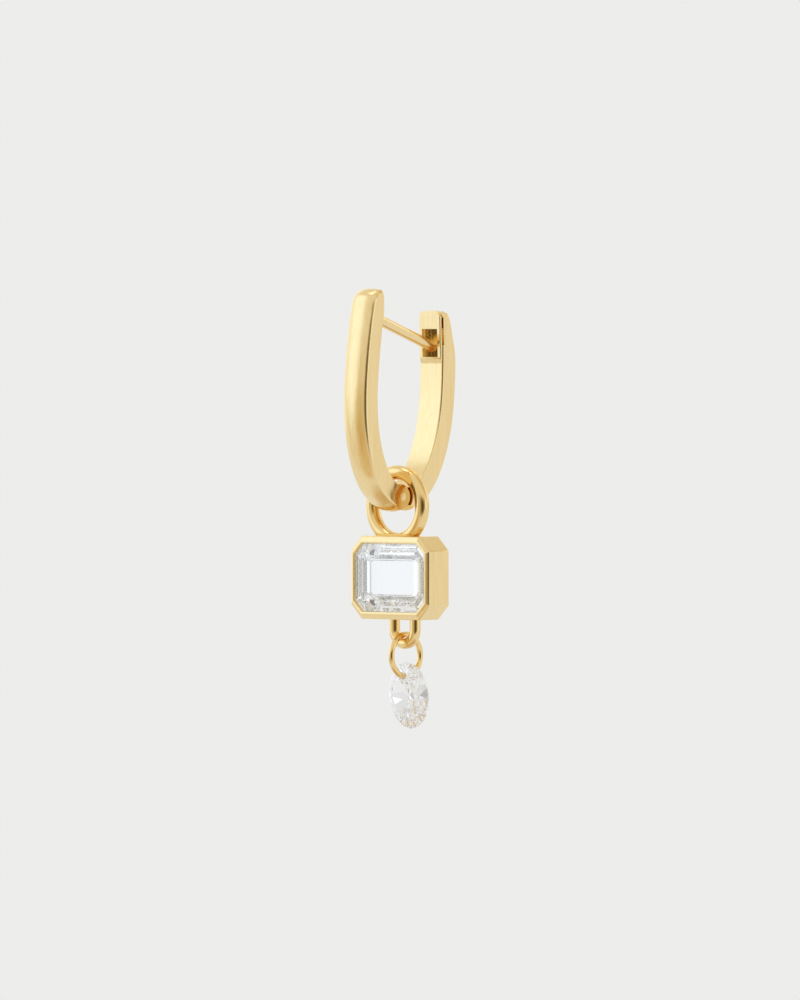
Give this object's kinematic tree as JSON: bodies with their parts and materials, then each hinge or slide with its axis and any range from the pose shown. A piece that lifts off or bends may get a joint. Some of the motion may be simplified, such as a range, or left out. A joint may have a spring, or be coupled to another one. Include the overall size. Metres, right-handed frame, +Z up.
{
  "type": "hoop charm earring",
  "caption": "Hinged oval hoop earring with a slanting ear post, a ring-hung octagonal setting holding a step-cut stone, and an oval drop stone on a jump ring.",
  "frame": {"origin": "middle of the ear post between the two arms, where the earring hangs in the ear lobe", "axes": "+X across the band to the right as seen from the front, +Y from the front of the ear to its back, +Z up"},
  "size_m": [0.0088, 0.0116, 0.0367],
  "materials": {
    "gold": "satin polished yellow gold",
    "diamond": "clear faceted diamond"
  },
  "bodies": {
    "front": {"front_arm": "gold"},
    "back": {"back_arm": "gold"},
    "charm": {"charm_setting": "gold", "step_cut_stone": "diamond", "jump_ring": "gold", "drop_stone": "diamond"}
  },
  "joints": [
    {"name": "hoop_hinge", "type": "hinge", "parent": "front", "child": "back", "pos_m": [0, -0.00108, -0.01378], "axis": [-1, 0, 0], "range_deg": [0, 45]},
    {"name": "charm_swing", "type": "hinge", "parent": "front", "child": "charm", "pos_m": [0, -0.00048, -0.01278], "axis": [-1, 0, 0], "range_deg": [-15, 35]}
  ]
}
